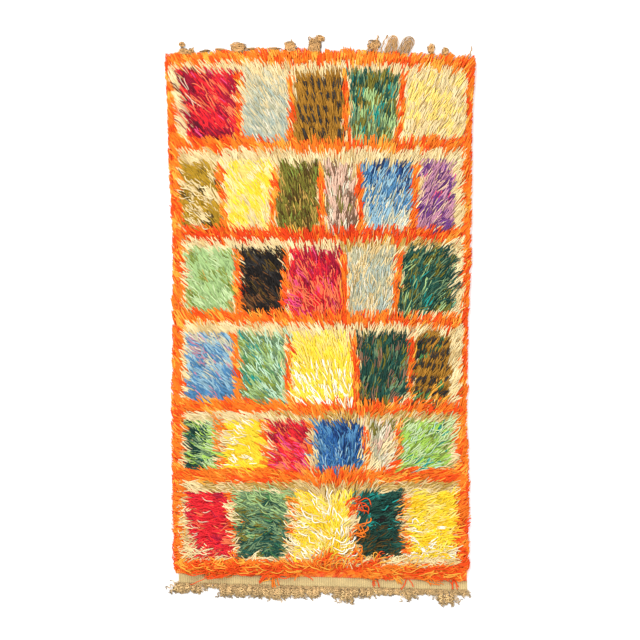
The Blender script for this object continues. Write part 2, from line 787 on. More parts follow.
def pick_dyes(kind, head_share, side_share, patch, chance):
    """The dye of each yarn, by its block's weights. Patch, from 0 to 1, keeps neighbours alike."""
    dye = np.zeros(kind.shape, int)
    for index, block in enumerate(BLOCKS):
        here = kind == index
        lone = chance.random(here.sum()) < block.blend
        place = np.where(lone, chance.random(here.sum()), patch[here])
        place = place + block.fade * (head_share[here] - 0.5)
        place = place + block.drift * (side_share[here] - 0.5)
        limits = np.cumsum(list(block.dyes.values()))
        found = np.searchsorted(limits / limits[-1], np.clip(place, 0, 0.999))
        names = np.array([DYE_NAMES.index(name) for name in block.dyes])
        dye[here] = names[np.clip(found, 0, len(names) - 1)]
    return dye


def lay_angle(x, y):
    """Which way the pile lies at each place, in radians from +Y, + to the right."""
    lay = stations(LAYS, y)
    share = 0.5 + 0.5 * np.tanh((x - lay["parting"]) / lay["softness"])
    angle = lay["left"] + (lay["right"] - lay["left"]) * share
    side = stations(SIDES, y)
    inside = np.minimum(x - side["left"], side["right"] - x)
    rim = ease(np.clip((RIM_REACH - inside) / RIM_SOFTNESS, 0, 1))
    low_end = ease(np.clip((-y - 0.2) / 0.4, 0, 1))
    corner = ease(np.clip((y - 0.69) / 0.07, 0, 1))
    upright = np.sign(x) * (RIM_LEAN + LOW_RIM_LEAN * low_end + CORNER_LEAN * corner)
    angle = angle + rim * (upright - angle)
    angle = angle + (4 + 0.26 * lay["curl"]) * soft_noise(x, y, 0.05, 8) * (1 - 0.5 * rim)
    return np.radians(angle), np.radians(lay["curl"])


# Meshes made from arrays


def linked(name, data):
    """A new object in the scene."""
    made = bpy.data.objects.new(name, data)
    bpy.context.scene.collection.objects.link(made)
    return made


def mesh_object(name, verts, quads, triangles, maps, colours):
    """One object from arrays. Maps hold a corner's place for each quad's and triangle's corner."""
    mesh = bpy.data.meshes.new(name)
    corners = np.concatenate([quads.ravel(), triangles.ravel()])
    starts = np.concatenate(
        [np.arange(len(quads)) * 4, len(quads) * 4 + np.arange(len(triangles)) * 3]
    )
    mesh.vertices.add(len(verts))
    mesh.vertices.foreach_set("co", np.ascontiguousarray(verts, np.float32).ravel())
    mesh.loops.add(len(corners))
    mesh.loops.foreach_set("vertex_index", corners.astype(np.int32))
    mesh.polygons.add(len(starts))
    mesh.polygons.foreach_set("loop_start", starts.astype(np.int32))
    mesh.update(calc_edges=True)
    mesh.validate()
    for map_name, places in maps.items():
        layer = mesh.uv_layers.new(name=map_name)
        layer.uv.foreach_set("vector", np.ascontiguousarray(places, np.float32).ravel())
    attribute = mesh.attributes.new(DYE, "FLOAT_COLOR", "POINT")
    opaque = np.concatenate([colours, np.ones((len(colours), 1))], axis=1)
    attribute.data.foreach_set("color", np.ascontiguousarray(opaque, np.float32).ravel())
    mesh.shade_smooth()
    return linked(name, mesh)


def tubes(name, paths, radii, sides, colours):
    """Many tubes as one object, each along its path, with its own cell and a colour a step."""
    count, steps = paths.shape[:2]
    ahead = np.gradient(paths, axis=1)
    ahead /= np.maximum(np.linalg.norm(ahead, axis=2, keepdims=True), 1e-9)
    side = np.cross(ahead, UP)
    side[np.linalg.norm(side, axis=2) < 0.05] = (1.0, 0.0, 0.0)
    side /= np.linalg.norm(side, axis=2, keepdims=True)
    lift = np.cross(side, ahead)
    turn = np.arange(sides) * math.tau / sides - math.pi / 2
    ring = np.cos(turn)[:, None] * side[:, :, None] + np.sin(turn)[:, None] * lift[:, :, None]
    rings = (paths[:, :, None] + radii[:, :, None, None] * ring)[:, :-1]
    verts = np.concatenate([rings.reshape(count, -1, 3), paths[:, -1:]], axis=1)
    per_tube = verts.shape[1]
    colours = np.concatenate([np.repeat(colours[:, :-1], sides, axis=1), colours[:, -1:]], axis=1)

    step, around = np.meshgrid(np.arange(steps - 2), np.arange(sides), indexing="ij")
    after = (around + 1) % sides
    here, beyond = step * sides, (step + 1) * sides
    quad = np.stack([here + around, beyond + around, beyond + after, here + after], axis=-1)
    quad = quad.reshape(-1, 4)
    quad_u = np.stack([around, around, around + 1, around + 1], axis=-1).reshape(-1, 4) / sides
    quad_v = np.stack([step, step + 1, step + 1, step], axis=-1).reshape(-1, 4) / (steps - 1)
    last = (steps - 2) * sides
    around = np.arange(sides)
    tip = np.stack([last + around, np.full(sides, per_tube - 1), last + (around + 1) % sides], 1)
    tip_u = np.stack([around, around + 0.5, around + 1], axis=1) / sides
    tip_v = np.tile([steps - 2, steps - 1, steps - 2], (sides, 1)) / (steps - 1)
    root = np.stack([np.zeros(sides - 2, int), around[1:-1], around[2:]], axis=1)
    root_u = np.tile([0.0, 0.5, 1.0], (sides - 2, 1))
    root_v = np.tile([0.0, 0.04, 0.0], (sides - 2, 1))

    first = (np.arange(count) * per_tube)[:, None, None]
    quads = (first + quad).reshape(-1, 4)
    triangles = (first + np.concatenate([tip, root])).reshape(-1, 3)
    quad_place = np.stack([quad_u, quad_v], axis=-1).reshape(-1, 2)
    three_u, three_v = np.concatenate([tip_u, root_u]), np.concatenate([tip_v, root_v])
    three_place = np.stack([three_u, three_v], axis=-1).reshape(-1, 2)
    cells = math.ceil(math.sqrt(count))
    corner = np.stack([np.arange(count) % cells, np.arange(count) // cells], axis=1) / cells

    def in_cells(place):
        inset = CELL_EDGE + (1 - 2 * CELL_EDGE) * place
        return (corner[:, None] + inset / cells).reshape(-1, 2)

    places = (quad_place, three_place)
    maps = {
        YARN_MAP: np.concatenate([np.tile(place, (count, 1)) for place in places]),
        BAKE_MAP: np.concatenate([in_cells(place) for place in places]),
    }
    verts, colours = verts.reshape(-1, 3), colours.reshape(-1, 3)
    return mesh_object(name, verts, quads, triangles, maps, colours)


def sheet(name, place_at, columns, rows, relief, colour_at):
    """A closed thin sheet over a grid. Place_at gives X and Y from a point's two shares."""
    across, along = np.meshgrid(np.linspace(0, 1, columns + 1), np.linspace(0, 1, rows + 1))
    x, y = place_at(across, along)
    top = np.stack([x, y, GROUND_THICK + relief(x, y)], axis=-1).reshape(-1, 3)
    low = np.stack([x, y, np.zeros_like(x)], axis=-1).reshape(-1, 3)
    wide = columns + 1
    column, row = np.meshgrid(np.arange(columns), np.arange(rows))
    a = (row * wide + column).ravel()
    upper = np.stack([a, a + 1, a + wide + 1, a + wide], axis=1)
    count = wide * (rows + 1)
    lower = upper[:, ::-1] + count
    start, left, right = wide * rows, wide * np.arange(rows), columns + wide * np.arange(rows)
    low_rim, high_rim = np.arange(columns), start + columns - np.arange(columns)
    rim = np.concatenate([low_rim, right, high_rim, start - left])
    after = np.roll(rim, -1)
    walls = np.stack([rim, rim + count, after + count, after], axis=1)
    quads = np.concatenate([upper, lower, walls])
    verts = np.concatenate([top, low])
    share = np.stack([across, along], axis=-1).reshape(-1, 2) * (FACE_WIDTH, 1)
    bake = np.concatenate([share, share + (0.5, 0.0)])[quads]
    steps = np.linspace(0, 1, len(walls) + 1)
    near, far = (np.full(len(walls), place) for place in WALL_STRIP)
    edges = ((near, steps[:-1]), (far, steps[:-1]), (far, steps[1:]), (near, steps[1:]))
    for corner, edge in enumerate(edges):
        bake[-len(walls) :, corner] = np.stack(edge, axis=1)
    colours = colour_at(verts[:, 0], verts[:, 1], verts[:, 2] < GROUND_THICK / 2)
    none = np.zeros((0, 3), int)
    maps = {BAKE_MAP: bake.reshape(-1, 2)}
    return mesh_object(name, verts, quads, none, maps, colours)


# Materials


class Wire:
    """A node's output that works in Python expressions, each of which adds a Math node."""

    def __init__(self, board, socket):
        self.board = board
        self.socket = socket

    def maths(self, operation, *values):
        inputs = dict(enumerate(values))
        return self.board.node("ShaderNodeMath", {"operation": operation}, inputs)

    def __add__(self, other):
        return self.maths("ADD", self, other)

    def __radd__(self, other):
        return self.maths("ADD", other, self)

    def __mul__(self, other):
        return self.maths("MULTIPLY", self, other)

    def __rmul__(self, other):
        return self.maths("MULTIPLY", other, self)

    def wave(self, pitch):
        """A wave from -1 to 1 with one crest for each pitch."""
        return self.maths("SINE", self * (math.tau / pitch))

    def least(self, other):
        return self.maths("MINIMUM", self, other)


class Board:
    """One material and the node tree that it is wired on."""

    def __init__(self, name):
        self.material = bpy.data.materials.new(name)
        self.material.use_nodes = True
        self.tree = self.material.node_tree
        self.shader = self.tree.nodes["Principled BSDF"]
        self.spot = self.node("ShaderNodeTexCoord", output="Object")

    def node(self, kind, settings=None, inputs=None, output=0):
        """Adds a node with its settings, then its inputs' values or wires. Returns an output."""
        node = self.tree.nodes.new(kind)
        for name, value in (settings or {}).items():
            setattr(node, name, value)
        for name, value in (inputs or {}).items():
            self.feed(node.inputs[name], value)
        return Wire(self, node.outputs[output])

    def feed(self, socket, value):
        if isinstance(value, Wire):
            self.tree.links.new(value.socket, socket)
        else:
            socket.default_value = value

    def split(self, vector):
        """A vector's X and Y."""
        return [self.node("ShaderNodeSeparateXYZ", None, {0: vector}, axis) for axis in "XY"]

    def noise(self, scale, detail):
        inputs = {"Vector": self.spot, "Scale": scale, "Detail": detail}
        return self.node("ShaderNodeTexNoise", None, inputs, "Fac")

    def finish(self, **values):
        """Feeds the shader's own sockets, named with underscores for spaces."""
        for name, value in values.items():
            self.feed(self.shader.inputs[name.replace("_", " ")], value)
        return self.material

    def dyed(self, value, bump, **values):
        """Finishes with the piece's dye, as bright as value, and with a bump's three inputs."""
        dye = self.node("ShaderNodeAttribute", {"attribute_name": DYE}, None, "Color")
        scaled = {0: dye, "Scale": value}
        colour = self.node("ShaderNodeVectorMath", {"operation": "SCALE"}, scaled)
        height, strength, distance = bump
        inputs = {"Height": height, "Strength": strength, "Distance": distance}
        normal = self.node("ShaderNodeBump", None, inputs)
        return self.finish(Base_Color=colour, Normal=normal, **values)


def yarn_material(name, plies, depth, roughness):
    """Plied wool: darker towards its root, with its twist and its fibres."""
    board = Board(name)
    place = board.node("ShaderNodeUVMap", {"uv_map": YARN_MAP})
    around, along = board.split(place)
    fibre, tone = board.noise(700.0, 2.0), board.noise(60.0, 1.0)
    twist = (around * 2.0 + along * plies).wave(1.0) * 0.5 + 0.5
    deep = (along * 1.8).least(1.0)
    value = (1.0 - depth + depth * deep) * (0.90 + twist * 0.10)
    value = value * (0.88 + fibre * 0.24) * (0.92 + tone * 0.16)
    bump = (twist * 0.6 + fibre * 0.4, 0.35, 0.0005)
    rough = roughness + fibre * 0.2
    return board.dyed(value, bump, Roughness=rough, Specular_IOR_Level=0.2, Sheen_Weight=0.02)


def rib_material():
    """A band of fine upright ribs, each wound with weft."""
    board = Board("band_weave")
    x, y = board.split(board.spot)
    fuzz, stain = board.noise(300.0, 3.0), board.noise(28.0, 2.0)
    ridge = x.wave(BAND_RIB) * 0.5 + 0.5
    wound = y.wave(BAND_WEFT) * 0.5 + 0.5
    value = (0.70 + ridge * 0.30) * (0.90 + wound * 0.10) * (0.58 + fuzz * 0.80)
    value = value * (0.80 + stain * 0.36)
    bump = (ridge * 0.7 + wound * 0.2 + fuzz * 0.1, 0.8, 0.0012)
    return board.dyed(value, bump, Roughness=0.72 + fuzz * 0.2, Sheen_Weight=0.1)


def weave_material():
    """Woven cloth in its own dyes: weft ribs one way and warp lines the other."""
    board = Board("ground_weave")
    x, y = board.split(board.spot)
    fuzz, stain = board.noise(420.0, 3.0), board.noise(22.0, 2.0)
    thread = x.wave(GROUND_WARP) * y.wave(GROUND_WEFT) * 0.5 + 0.5
    value = (0.72 + thread * 0.28) * (0.8 + fuzz * 0.4) * (0.88 + stain * 0.24)
    bump = (thread * 0.75 + fuzz * 0.25, 0.7, 0.0012)
    return board.dyed(value, bump, Roughness=0.75 + fuzz * 0.2, Sheen_Weight=0.15)


def floor_material(colour):
    """A plain pale floor with the faintest unevenness."""
    board = Board("pale_floor")
    return board.finish(Base_Color=(*colour, 1.0), Roughness=0.85 + board.noise(3.0, 2.0) * 0.1)


# Settings


def length_setting(name, description, default):
    return FloatProperty(name=name, description=description, default=default, unit="LENGTH")


def colour_setting(name, description, default):
    return FloatVectorProperty(
        name=name, description=description, default=tuple(default), size=3, subtype="COLOR"
    )


class RyaPileSettings(bpy.types.PropertyGroup):
    """The knotted pile."""

    yarn_width: length_setting("Yarn width", "Width of one pile yarn", 0.0034)
    yarn_length: length_setting("Yarn length", "Length of one pile yarn", 0.056)
    knot_pitch: length_setting("Knot pitch", "From knot to knot along a row", 0.0190)
    row_pitch: length_setting("Row pitch", "From one row of knots to the next", 0.0195)
    yarns: IntProperty(name="Yarns", description="Yarns in one knot", default=8)
    height: length_setting("Height", "How high the pile lies above its ground", 0.0165)
    seed: IntProperty(name="Seed", description="Seed of the pile's unevenness", default=5)


class RyaWarpSettings(bpy.types.PropertyGroup):
    """The undyed warp in the end band, the fringe and the tufts."""

    colour: colour_setting("Warp colour", "Colour of the warp ends", linear("E4BE84"))
    tuft_colour: colour_setting("Tuft colour", "Colour of the tangled tufts", linear("BC925E"))
    band_colour: colour_setting("Band colour", "Colour of the woven end band", linear("D6BC82"))
    thread_width: length_setting("Thread width", "Width of one warp thread", 0.0026)
    fringe_pitch: length_setting("Fringe pitch", "From thread to thread of the fringe", 0.0019)
    seed: IntProperty(name="Seed", description="Seed of the fringe's curls", default=9)


class RyaStageSettings(bpy.types.PropertyGroup):
    """Floor, light and camera."""

    floor_colour: colour_setting("Floor colour", "Colour of the floor", (0.93, 0.93, 0.93))
    light: FloatProperty(
        name="Light", description="Power of the main light", default=260.0, unit="POWER"
    )
    camera_height: length_setting("Camera height", "Camera above the rug", 6.0)
    view_width: length_setting("View width", "Width that the picture shows", 1.952)


def toned(colour, tone):
    """A colour for each step of each tube, from tones for the tubes or for their steps."""
    return np.clip(np.array(colour) * tone[:, :, None], 0, 1)


def uneven_radii(paths, half_width, ends, spread, chance):
    """A radius for each step of each tube, whose last two steps narrow by the ends' shares."""
    shape = np.full(paths.shape[1], half_width)
    shape[-2:] *= ends
    return shape * chance.uniform(*spread, (len(paths), 1))


def dressed(piece, material, slot, *nodes):
    """Gives a piece its material, its body, its slot and the solids that it stands for."""
    piece.data.materials.append(material)
    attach(piece, BODY)
    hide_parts(*nodes)
    return piece


# Pile


def knot_places(pile, chance):
    """The knots of the pile, in staggered rows between the ground's edges."""
    rows = round((TOP_MIDDLE_Y - BOTTOM_MIDDLE_Y) / pile.row_pitch)
    columns = round(2 * HALF_WIDTH / pile.knot_pitch)
    column, row = np.meshgrid(np.arange(columns), np.arange(rows))
    across = ((column + 0.25 + 0.5 * (row % 2)) / columns).ravel()
    along = ((row + 0.5) / rows).ravel()
    side = stations(SIDES, BOTTOM_MIDDLE_Y + (TOP_MIDDLE_Y - BOTTOM_MIDDLE_Y) * along)
    x = side["left"] + (side["right"] - side["left"]) * across
    y = bottom_edge(x) + END_ROW + (top_edge(x) - bottom_edge(x) - END_ROWS) * along
    x = x + chance.uniform(-KNOT_STRAY, KNOT_STRAY, x.shape)
    y = y + chance.uniform(-KNOT_STRAY, KNOT_STRAY, y.shape)
    return x, y, row.ravel()


def rim_distance(x, y):
    """How far each place lies inside the ground's edge. Negative values are outside."""
    side = stations(SIDES, y)
    gaps = [x - side["left"], side["right"] - x, top_edge(x) - y, y - bottom_edge(x)]
    return np.min(gaps, axis=0)


def room_ahead(x, y, angle):
    """How far a yarn can lie along its angle until it hangs over the pile's outline."""
    side = stations(SIDES, y)
    over = RIM_OVERHANG * (1 + OVERHANG_STRAY * soft_noise(x, y, OVERHANG_BUMP, 41))
    edge = np.where(angle > 0, side["right"] - x, x - side["left"])
    to_side = (edge + over * SIDE_OVERHANG) / np.maximum(np.abs(np.sin(angle)), LEAST_SLANT)
    above = over * (TOP_OVERHANG + RIGHT_OVERHANG * x / HALF_WIDTH)
    to_top = (top_edge(x) - y + above) / np.maximum(np.cos(angle), LEAST_SLANT)
    return np.maximum(np.minimum(to_side, to_top), SHORTEST_YARN)


def yarn_paths(x, y, angle, curl, sway, length, height):
    """Yarns that rise from their knots, bend over and lie waving on the rows ahead of them."""
    travel = np.array(YARN_TRAVEL)
    steps = np.diff(travel)
    middles = (travel[1:] + travel[:-1]) / 2
    wave = np.sin(math.tau * YARN_WAVES * middles + sway[:, 1:] * math.tau)
    headings = angle[:, None] + curl[:, None] * (middles - STRAIGHT_AT) + sway[:, :1] * wave
    moves = length[:, None] * steps
    path = np.zeros((len(x), len(travel), 3))
    path[:, 0, 0], path[:, 0, 1] = x, y
    path[:, 1:, 0] = x[:, None] + np.cumsum(moves * np.sin(headings), axis=1)
    path[:, 1:, 1] = y[:, None] + np.cumsum(moves * np.cos(headings), axis=1)
    path[:, :, 2] = GROUND_THICK * ROOT_LEVEL + height[:, None] * YARN_RISE
    inside = rim_distance(path[:, :, 0], path[:, :, 1])
    path[:, :, 2] *= 1 - DROOP * np.clip(DROOP_START - inside / DROOP_REACH, 0, 1)
    path[:, :, 2] = np.maximum(path[:, :, 2], LOWEST_YARN)
    return path


class RYA_OT_pile(bpy.types.Operator):
    """Knots the pile, one piece for each family of dyes"""

    bl_idname = "rya.pile"
    bl_label = "Knot the pile"

    def execute(self, context):
        pile = context.scene.rya_pile
        chance = np.random.default_rng(pile.seed)
        knot_x, knot_y, knot_row = knot_places(pile, chance)
        knots = len(knot_x)
        angle, curl = lay_angle(knot_x, knot_y)
        angle = angle + (np.radians(KNOT_TURN) + CURL_TURN * curl) * chance.normal(size=knots)
        rim = np.clip(rim_distance(knot_x, knot_y) / LOW_RIM, 0, 1)
        length = pile.yarn_length * chance.uniform(*KNOT_LENGTHS, knots)
        height = pile.height * (EDGE_HEIGHT + INNER_HEIGHT * rim)
        height = height * chance.uniform(*KNOT_HEIGHTS, knots)
        height = height * (1 + SWELL * soft_noise(knot_x, knot_y, SWELL_BUMP, 12))
        near = np.argsort(np.argsort(soft_noise(knot_x, knot_y, PATCH_BUMP, 14))) / knots
        patchy, lone = chance.random(knots), chance.random(knots)

        def spread(values):
            return np.repeat(values, pile.yarns)

        count = knots * pile.yarns
        across = np.tile(np.linspace(-1, 1, pile.yarns), knots) * pile.knot_pitch * KNOT_SPAN
        across = across + chance.normal(0, YARN_STRAY, count)
        back = chance.uniform(-ROW_STRAY, ROW_STRAY, count)
        sine, cosine = np.sin(spread(angle)), np.cos(spread(angle))
        x = spread(knot_x) + across * cosine + back * sine
        y = spread(knot_y) - across * sine + back * cosine
        side = stations(SIDES, y)
        x = np.clip(x, side["left"] + SELVAGE, side["right"] - SELVAGE)
        freedom = spread(EDGE_TURN + INNER_TURN * rim)
        turn = spread(angle) + np.radians(YARN_TURN) * chance.normal(size=count) * freedom
        bend = spread(curl * chance.normal(size=knots))
        bend = bend + spread(curl) * YARN_BEND * chance.normal(size=count)
        sway = np.radians(YARN_SWAY) + YARN_BEND * spread(curl) * chance.random(count)
        sway = np.stack([sway, chance.random(count)], axis=1)
        yarn_length = spread(length) * chance.uniform(*YARN_LENGTHS, count)
        turn = turn - (LOCK + RIM_LOCK * spread(1 - rim)) * across / yarn_length
        room = room_ahead(x, y, turn) * chance.uniform(*ROOM_USED, count)
        yarn_length = np.minimum(yarn_length, room)
        tip = TIP_SHARE * yarn_length
        kind, head_share, side_share = block_at(x + tip * np.sin(turn), y + tip * np.cos(turn))

        def of_block(name):
            return np.array([getattr(block, name) for block in BLOCKS])[kind]

        patch = np.where(of_block("patchy") > spread(patchy), spread(near), spread(lone))
        dye = pick_dyes(kind, head_share, side_share, patch, chance)
        spots = [DYE_NAMES.index(block.spots) if block.spots else -1 for block in BLOCKS]
        spot = np.array(spots)[kind]
        shift = np.where(spread(knot_row) % 4 < 2, 0, pile.yarns / 2)
        place = np.tile(np.arange(pile.yarns), knots) - shift
        spotted = (spot >= 0) & (head_share > of_block("spots_from"))
        spotted &= (place >= 0) & (place < pile.yarns * of_block("spots_wide"))
        spotted &= (spread(knot_row) % 2 == 0) & spread(chance.random(knots) < SPOT_CHANCE)
        dye = np.where(spotted, spot, dye)
        yarn_length = yarn_length * of_block("reach") * (1 - SPOT_SHORTER * spotted)
        yarn_height = spread(height) * chance.uniform(*YARN_HEIGHTS, count)
        yarn_height = yarn_height * (1 + SPOT_HIGHER * spotted)
        paths = yarn_paths(x, y, turn, bend, sway, yarn_length, yarn_height)
        uneven = np.minimum(TONE_SPREAD / np.sqrt(DYES[dye] @ BRIGHTNESS), MOST_UNEVEN)
        tone = YARN_TONE * chance.normal(size=count)
        tone = tone + KNOT_TONE * spread(chance.normal(size=knots))
        colours = DYES[dye] * np.exp(uneven * tone)[:, None]
        shape = np.array(YARN_SHAPE) * pile.yarn_width / 2
        radii = shape * chance.uniform(*YARN_WIDTHS, (count, 1))
        family = np.array([list(FAMILIES).index(name) for name in DYE_FAMILY])[dye]
        pieces = []
        for index, name in enumerate(FAMILIES):
            material = yarn_material(f"{name}_wool", PILE_PLIES, ROOT_SHADE[name], WOOL_ROUGH)
            own = np.flatnonzero(family == index)
            parts = math.ceil(len(own) / MOST_YARNS)
            for part, chosen in enumerate(np.array_split(own, parts)):
                label = f"pile_{name}_{part + 1}" if parts > 1 else f"pile_{name}"
                whole = toned(colours[chosen][:, None], np.ones((len(chosen), len(shape))))
                piece = tubes(label, paths[chosen], radii[chosen], YARN_SIDES, whole)
                pieces.append(dressed(piece, material, PILE_SLOT, PILE_NODE))
        others = [bpy.data.objects[name] for name in ("warp_tufts", "loose_yarns")]
        pieces + others
        return {"FINISHED"}


# Ground, end band, fringe and tufts


class RYA_OT_ground(bpy.types.Operator):
    """Weaves the ground under the pile, with the heading at its top edge"""

    bl_idname = "rya.ground"
    bl_label = "Weave the ground"

    def execute(self, context):
        def y_at(x, along):
            return bottom_edge(x) + (top_edge(x) + HEADING_DEPTH - bottom_edge(x)) * along

        def place_at(across, along):
            side = stations(SIDES, y_at((across - 0.5) * 2 * HALF_WIDTH, along))
            x = side["left"] + (side["right"] - side["left"]) * across
            return x, y_at(x, along)

        def relief(x, y):
            rise = ease(np.clip(rim_distance(x, y) / 0.02, 0, 1))
            return rise * ROOTS_THICK * (1 + 0.2 * soft_noise(x, y, 0.02, 22))

        def colour_at(x, y, below):
            chance = np.random.default_rng(21)
            kind, head_share, side_share = block_at(x, y)
            dye = pick_dyes(kind, head_share, side_share, chance.random(x.shape), chance)
            knotted = BACK_DYE * DYES[dye] + BACK_WOOL * linear("E2CD9A")
            return np.where(below[:, None], knotted, np.minimum(DYES[dye] * ROOTS_BRIGHTER, 1))

        piece = sheet("ground_cloth", place_at, *GROUND_GRID, relief, colour_at)
        dressed(piece, weave_material(), PILE_SLOT, PILE_NODE)
        return {"FINISHED"}


class RYA_OT_end_band(bpy.types.Operator):
    """Weaves the ribbed end band below the pile"""

    bl_idname = "rya.end_band"
    bl_label = "Weave the end band"

    def execute(self, context):
        warp = context.scene.rya_warp

        def place_at(across, along):
            x = BAND_LEFT + (BAND_RIGHT - BAND_LEFT) * across
            return x, bottom_edge(x) - SEAM_GAP - BAND_DEPTH * (1 - along)

        def relief(x, y):
            ribs = RIB_HEIGHT * np.sin(x * math.tau / BAND_RIB)
            return ribs + BAND_BUMPS * soft_noise(x, y, 0.02, 31)

        def colour_at(x, y, below):
            tone = 1 + 0.10 * soft_noise(x, y, 0.03, 32)
            return toned(warp.band_colour, tone[:, None])[:, 0]

        piece = sheet("end_band", place_at, *BAND_GRID, relief, colour_at)
        dressed(piece, rib_material(), WARP_SLOT, BAND_NODE)
        return {"FINISHED"}


class RYA_OT_fringe(bpy.types.Operator):
    """Twines the band's edge and hangs the curly warp ends out of it"""

    bl_idname = "rya.fringe"
    bl_label = "Curl the fringe"

    def execute(self, context):
        warp = context.scene.rya_warp
        chance = np.random.default_rng(warp.seed)
        paths = []
        for clump in CLUMPS:
            count = round((clump.right - clump.left) / warp.fringe_pitch)
            for index, x in enumerate(np.linspace(clump.left, clump.right, count)):
                paths.append(self.curl(x, clump, index % 2, chance))
        paths += [self.curl(end.left, end, 1, chance) for end in LONE_ENDS]
        paths = np.array(paths)
        levels = paths[:, :, 2]
        tone = np.interp(levels, FRINGE_LEVELS, FRINGE_TONES)
        colours = toned(warp.colour, tone * chance.uniform(0.6, 1.25, (len(paths), 1)))
        radii = uneven_radii(paths, warp.thread_width / 2, (0.8, 0.0), (0.8, 1.2), chance)
        radii *= np.where(levels.max(axis=1, keepdims=True) < FLAT_BELOW, FLAT_WIDER, 1.0)
        fringe = tubes("warp_fringe", paths, radii, YARN_SIDES, colours)
        material = yarn_material("warp_yarn", WARP_PLIES, WARP_SHADE, WARP_ROUGH)
        dressed(fringe, material, WARP_SLOT, BAND_NODE)
        edge = self.twined_edge(warp)
        dressed(edge, material, WARP_SLOT, BAND_NODE)
        return {"FINISHED"}

    def curl(self, x, clump, layer, chance):
        """One warp end: it leaves the band and winds from side to side to the clump's reach.

        The ends of layer 0 lie flat on the floor, and those of layer 1 curl up over them.
        """
        share = np.linspace(0, 1, FRINGE_STEPS)
        reach = clump.reach * chance.uniform(*FRINGE_REACH) + FRINGE_EXTRA
        wave = math.radians(chance.uniform(*FRINGE_SWING))
        length = reach * (1 + SWING_LENGTHENS * wave**2)
        curls = length / chance.uniform(*FRINGE_CURL)
        lean = math.radians(clump.lean + chance.normal(0, FRINGE_LEAN))
        heading = lean + wave * np.sin(math.tau * (curls * share + chance.random()))
        heading = heading + chance.normal(0, FRINGE_STRAY) * share**2
        step = length / (FRINGE_STEPS - 1)
        start = float(np.clip(x, BAND_LEFT + BAND_INSET, BAND_RIGHT - BAND_INSET))
        px = start + (x - start) * share + np.cumsum(np.sin(heading)) * step
        py = bottom_edge(start) - BAND_DEPTH + BAND_OVERLAP - np.cumsum(np.cos(heading)) * step
        arch = np.sin(math.pi * np.minimum(1, share * 1.15))
        high = np.maximum(layer * chance.uniform(*FRINGE_LIFT) * arch, 0)
        ripple = FRINGE_RIPPLE * (1 + np.sin(math.tau * curls * share))
        pz = FRINGE_LEVEL - LAYER_DROP * layer + high + ripple
        return np.stack([px, py, pz], axis=1)

    def twined_edge(self, warp):
        """Two threads wound round each other along the band's lower edge."""
        x = np.linspace(BAND_LEFT, BAND_RIGHT, TWINE_STEPS)
        paths = []
        for start in (0.0, math.pi):
            phase = start + (x - BAND_LEFT) * math.tau / TWINE_PITCH
            y = bottom_edge(x) - SEAM_GAP - BAND_DEPTH + TWINE_SWING[0] * np.cos(phase)
            paths.append(np.stack([x, y, TWINE_LEVEL + TWINE_SWING[1] * np.sin(phase)], axis=1))
        shape = np.full(TWINE_STEPS, TWINE_RADIUS)
        shape[-1] = 0.0
        colours = toned(warp.band_colour, np.full((2, TWINE_STEPS), 0.9))
        radii = np.array([shape, shape])
        return tubes("twined_edge", np.array(paths), radii, WARP_SIDES, colours)


